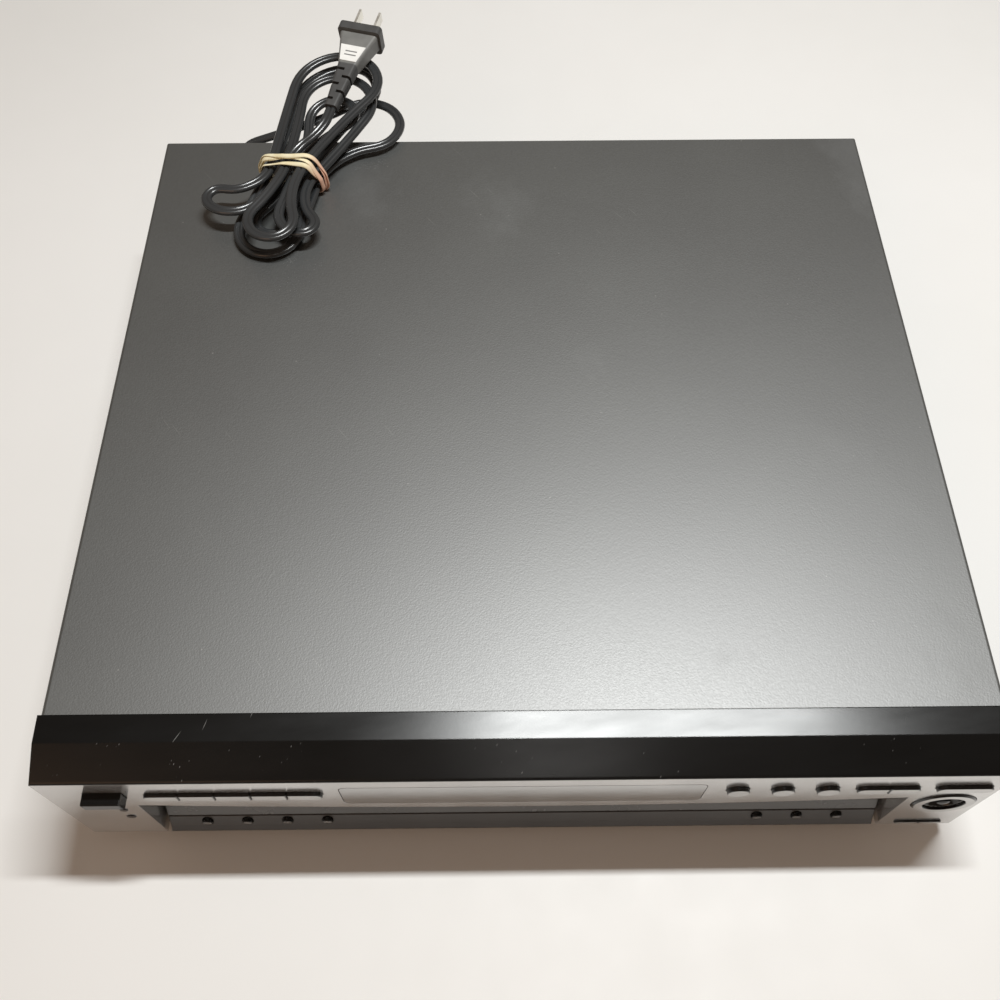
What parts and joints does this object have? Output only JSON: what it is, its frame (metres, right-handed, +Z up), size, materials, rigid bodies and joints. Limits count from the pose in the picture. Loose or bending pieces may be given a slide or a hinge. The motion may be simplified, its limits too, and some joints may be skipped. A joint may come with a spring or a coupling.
{
  "type": "carousel disc changer",
  "caption": "Low black audio disc changer with a sliding drawer that carries a turning carousel of disc wells, sprung front controls and a mains lead tied in a hank.",
  "frame": {"origin": "centre of the footprint, under the feet", "axes": "+X to the right seen from the front, +Y to the back, +Z up"},
  "size_m": [0.4306, 0.4759, 0.145],
  "materials": {
    "cover_steel": "fine matt black powder coat",
    "chassis_steel": "zinc plated sheet",
    "screw_steel": "blackened steel",
    "foot_plastic": "matt black",
    "fascia_plastic": "satin black moulding",
    "cap_plastic": "gloss black",
    "window_plastic": "smoked, glossy",
    "lens_plastic": "dark translucent",
    "button_plastic": "satin black",
    "circuit_board": "bare board with parts",
    "jack_metal": "black with plated rings",
    "frame_plastic": "black moulding",
    "motor_steel": "plated can",
    "belt_rubber": "black",
    "lead_jacket": "semi gloss black",
    "band_rubber": "cream rubber",
    "plug_plastic": "dark grey moulding with a plain pale tag",
    "blade_brass": "bright plated",
    "tray_plastic": "black moulding",
    "platter_plastic": "dark grey moulding",
    "gear_plastic": "natural white"
  },
  "bodies": {
    "cabinet": {"top_cover": "cover_steel", "chassis_base": "chassis_steel", "rear_panel": "cover_steel", "case_screws": "screw_steel", "feet": "foot_plastic", "front_panel": "fascia_plastic", "top_trim": "cap_plastic", "display_window": "window_plastic", "panel_lenses": "lens_plastic", "key_board": "circuit_board", "main_board": "circuit_board", "power_board": "circuit_board", "jack_block": "jack_metal", "loader_frame": "frame_plastic", "mechanism_bridge": "chassis_steel", "loading_motor": "motor_steel", "loading_belt": "belt_rubber", "strain_relief": "lead_jacket", "cord_run": "lead_jacket", "cord_hank": "lead_jacket", "rubber_band": "band_rubber", "cord_plug": "plug_plastic", "plug_blades": "blade_brass"},
    "drawer": {"drawer_front": "fascia_plastic", "drawer_tray": "tray_plastic", "table_motor": "motor_steel"},
    "platter": {"platter": "platter_plastic"},
    "table_gear": {"table_gear": "gear_plastic"},
    "loading_gear": {"loading_gear": "gear_plastic"},
    "motor_pulley": {"motor_pulley": "gear_plastic"},
    "optical_unit": {"optical_base": "chassis_steel", "spindle_motor": "motor_steel"},
    "turntable": {"turntable": "frame_plastic"},
    "pickup_sled": {"pickup_sled": "frame_plastic"},
    "sled_gear": {"sled_gear": "gear_plastic"},
    "clamper": {"clamper": "frame_plastic"},
    "shuttle_ring": {"shuttle_ring": "button_plastic"},
    "stick_bowl": {"stick_bowl": "button_plastic"},
    "enter_stick": {"enter_stick": "button_plastic"},
    "disc_button_1": {"disc_button_1": "button_plastic"},
    "disc_button_2": {"disc_button_2": "button_plastic"},
    "disc_button_3": {"disc_button_3": "button_plastic"},
    "disc_button_4": {"disc_button_4": "button_plastic"},
    "disc_button_5": {"disc_button_5": "button_plastic"},
    "previous_button": {"previous_button": "button_plastic"},
    "next_button": {"next_button": "button_plastic"},
    "low_button_left": {"low_button_left": "button_plastic"},
    "low_button_right": {"low_button_right": "button_plastic"},
    "play_button": {"play_button": "button_plastic"},
    "pause_button": {"pause_button": "button_plastic"},
    "stop_button": {"stop_button": "button_plastic"},
    "open_button": {"open_button": "button_plastic"},
    "sill_button_1": {"sill_button_1": "button_plastic"},
    "sill_button_2": {"sill_button_2": "button_plastic"},
    "sill_button_3": {"sill_button_3": "button_plastic"},
    "sill_button_4": {"sill_button_4": "button_plastic"},
    "sill_button_5": {"sill_button_5": "button_plastic"},
    "sill_button_6": {"sill_button_6": "button_plastic"},
    "sill_button_7": {"sill_button_7": "button_plastic"},
    "power_button": {"power_button": "button_plastic"}
  },
  "joints": [
    {"name": "drawer_slide", "type": "slide", "parent": "cabinet", "child": "drawer", "axis": [0, -1, 0], "range_m": [0, 0.2262]},
    {"name": "platter_spin", "type": "hinge", "parent": "drawer", "child": "platter", "pos_m": [0, -0.01628, 0.045], "axis": [0, 0, 1], "continuous": true},
    {"name": "table_gear_spin", "type": "hinge", "parent": "drawer", "child": "table_gear", "pos_m": [0.06197, -0.13282, 0.039], "axis": [0, 0, 1], "continuous": true},
    {"name": "loading_gear_spin", "type": "hinge", "parent": "cabinet", "child": "loading_gear", "pos_m": [-0.136, -0.14697, 0.018], "axis": [0, 0, 1], "range_deg": [0, 926]},
    {"name": "motor_pulley_spin", "type": "hinge", "parent": "cabinet", "child": "motor_pulley", "pos_m": [-0.1962, -0.14697, 0.018], "axis": [0, 0, 1], "range_deg": [0, 3601]},
    {"name": "unit_lift", "type": "hinge", "parent": "cabinet", "child": "optical_unit", "pos_m": [0, 0.16703, 0.034], "axis": [-1, 0, 0], "range_deg": [0, 7]},
    {"name": "turntable_spin", "type": "hinge", "parent": "optical_unit", "child": "turntable", "pos_m": [0, 0.08722, 0.03327], "axis": [0, -0.1219, 0.9925], "continuous": true},
    {"name": "sled_slide", "type": "slide", "parent": "optical_unit", "child": "pickup_sled", "axis": [0, -0.9925, -0.1219], "range_m": [0, 0.03456]},
    {"name": "sled_gear_spin", "type": "hinge", "parent": "optical_unit", "child": "sled_gear", "pos_m": [0.03, 0.05799, 0.02515], "axis": [0, -0.1219, 0.9925], "range_deg": [0, 283]},
    {"name": "clamper_spin", "type": "hinge", "parent": "cabinet", "child": "clamper", "pos_m": [0, 0.08772, 0.054], "axis": [0, 0, 1], "continuous": true},
    {"name": "disc_button_1_press", "type": "slide", "parent": "cabinet", "child": "disc_button_1", "axis": [0, 1, 0], "range_m": [0, 0.0008], "stiffness_N_per_m": 300},
    {"name": "disc_button_2_press", "type": "slide", "parent": "cabinet", "child": "disc_button_2", "axis": [0, 1, 0], "range_m": [0, 0.0008], "stiffness_N_per_m": 300},
    {"name": "disc_button_3_press", "type": "slide", "parent": "cabinet", "child": "disc_button_3", "axis": [0, 1, 0], "range_m": [0, 0.0008], "stiffness_N_per_m": 300},
    {"name": "disc_button_4_press", "type": "slide", "parent": "cabinet", "child": "disc_button_4", "axis": [0, 1, 0], "range_m": [0, 0.0008], "stiffness_N_per_m": 300},
    {"name": "disc_button_5_press", "type": "slide", "parent": "cabinet", "child": "disc_button_5", "axis": [0, 1, 0], "range_m": [0, 0.0008], "stiffness_N_per_m": 300},
    {"name": "previous_button_press", "type": "slide", "parent": "cabinet", "child": "previous_button", "axis": [0, 1, 0], "range_m": [0, 0.0008], "stiffness_N_per_m": 300},
    {"name": "next_button_press", "type": "slide", "parent": "cabinet", "child": "next_button", "axis": [0, 1, 0], "range_m": [0, 0.0008], "stiffness_N_per_m": 300},
    {"name": "low_button_left_press", "type": "slide", "parent": "cabinet", "child": "low_button_left", "axis": [0, 1, 0], "range_m": [0, 0.0008], "stiffness_N_per_m": 300},
    {"name": "low_button_right_press", "type": "slide", "parent": "cabinet", "child": "low_button_right", "axis": [0, 1, 0], "range_m": [0, 0.0008], "stiffness_N_per_m": 300},
    {"name": "play_button_press", "type": "slide", "parent": "cabinet", "child": "play_button", "axis": [0, 1, 0], "range_m": [0, 0.0008], "stiffness_N_per_m": 300},
    {"name": "pause_button_press", "type": "slide", "parent": "cabinet", "child": "pause_button", "axis": [0, 1, 0], "range_m": [0, 0.0008], "stiffness_N_per_m": 300},
    {"name": "stop_button_press", "type": "slide", "parent": "cabinet", "child": "stop_button", "axis": [0, 1, 0], "range_m": [0, 0.0008], "stiffness_N_per_m": 300},
    {"name": "open_button_press", "type": "slide", "parent": "cabinet", "child": "open_button", "axis": [0, 1, 0], "range_m": [0, 0.0008], "stiffness_N_per_m": 300},
    {"name": "sill_button_1_press", "type": "slide", "parent": "cabinet", "child": "sill_button_1", "axis": [0, 1, 0], "range_m": [0, 0.0008], "stiffness_N_per_m": 300},
    {"name": "sill_button_2_press", "type": "slide", "parent": "cabinet", "child": "sill_button_2", "axis": [0, 1, 0], "range_m": [0, 0.0008], "stiffness_N_per_m": 300},
    {"name": "sill_button_3_press", "type": "slide", "parent": "cabinet", "child": "sill_button_3", "axis": [0, 1, 0], "range_m": [0, 0.0008], "stiffness_N_per_m": 300},
    {"name": "sill_button_4_press", "type": "slide", "parent": "cabinet", "child": "sill_button_4", "axis": [0, 1, 0], "range_m": [0, 0.0008], "stiffness_N_per_m": 300},
    {"name": "sill_button_5_press", "type": "slide", "parent": "cabinet", "child": "sill_button_5", "axis": [0, 1, 0], "range_m": [0, 0.0008], "stiffness_N_per_m": 300},
    {"name": "sill_button_6_press", "type": "slide", "parent": "cabinet", "child": "sill_button_6", "axis": [0, 1, 0], "range_m": [0, 0.0008], "stiffness_N_per_m": 300},
    {"name": "sill_button_7_press", "type": "slide", "parent": "cabinet", "child": "sill_button_7", "axis": [0, 1, 0], "range_m": [0, 0.0008], "stiffness_N_per_m": 300},
    {"name": "power_button_press", "type": "slide", "parent": "cabinet", "child": "power_button", "axis": [0, 1, 0], "range_m": [0, 0.0008], "stiffness_N_per_m": 300},
    {"name": "shuttle_turn", "type": "hinge", "parent": "cabinet", "child": "shuttle_ring", "pos_m": [0.1974, -0.19598, 0.051], "axis": [0, 1, 0], "range_deg": [-40, 40], "stiffness_Nm_per_rad": 0.02},
    {"name": "bowl_tilt", "type": "hinge", "parent": "cabinet", "child": "stick_bowl", "pos_m": [0.1974, -0.19598, 0.051], "axis": [1, 0, 0], "range_deg": [-8, 8], "stiffness_Nm_per_rad": 0.01},
    {"name": "stick_tilt", "type": "hinge", "parent": "stick_bowl", "child": "enter_stick", "pos_m": [0.1974, -0.19598, 0.051], "axis": [0, 0, 1], "range_deg": [-8, 8], "stiffness_Nm_per_rad": 0.01}
  ],
  "couplings": [
    {"joint": "table_gear_spin", "follows": "platter_spin", "ratio": 8.3333},
    {"joint": "loading_gear_spin", "follows": "drawer_slide", "rad_per_m": 71.429},
    {"joint": "motor_pulley_spin", "follows": "drawer_slide", "rad_per_m": 277.78},
    {"joint": "sled_gear_spin", "follows": "sled_slide", "rad_per_m": 142.86}
  ]
}
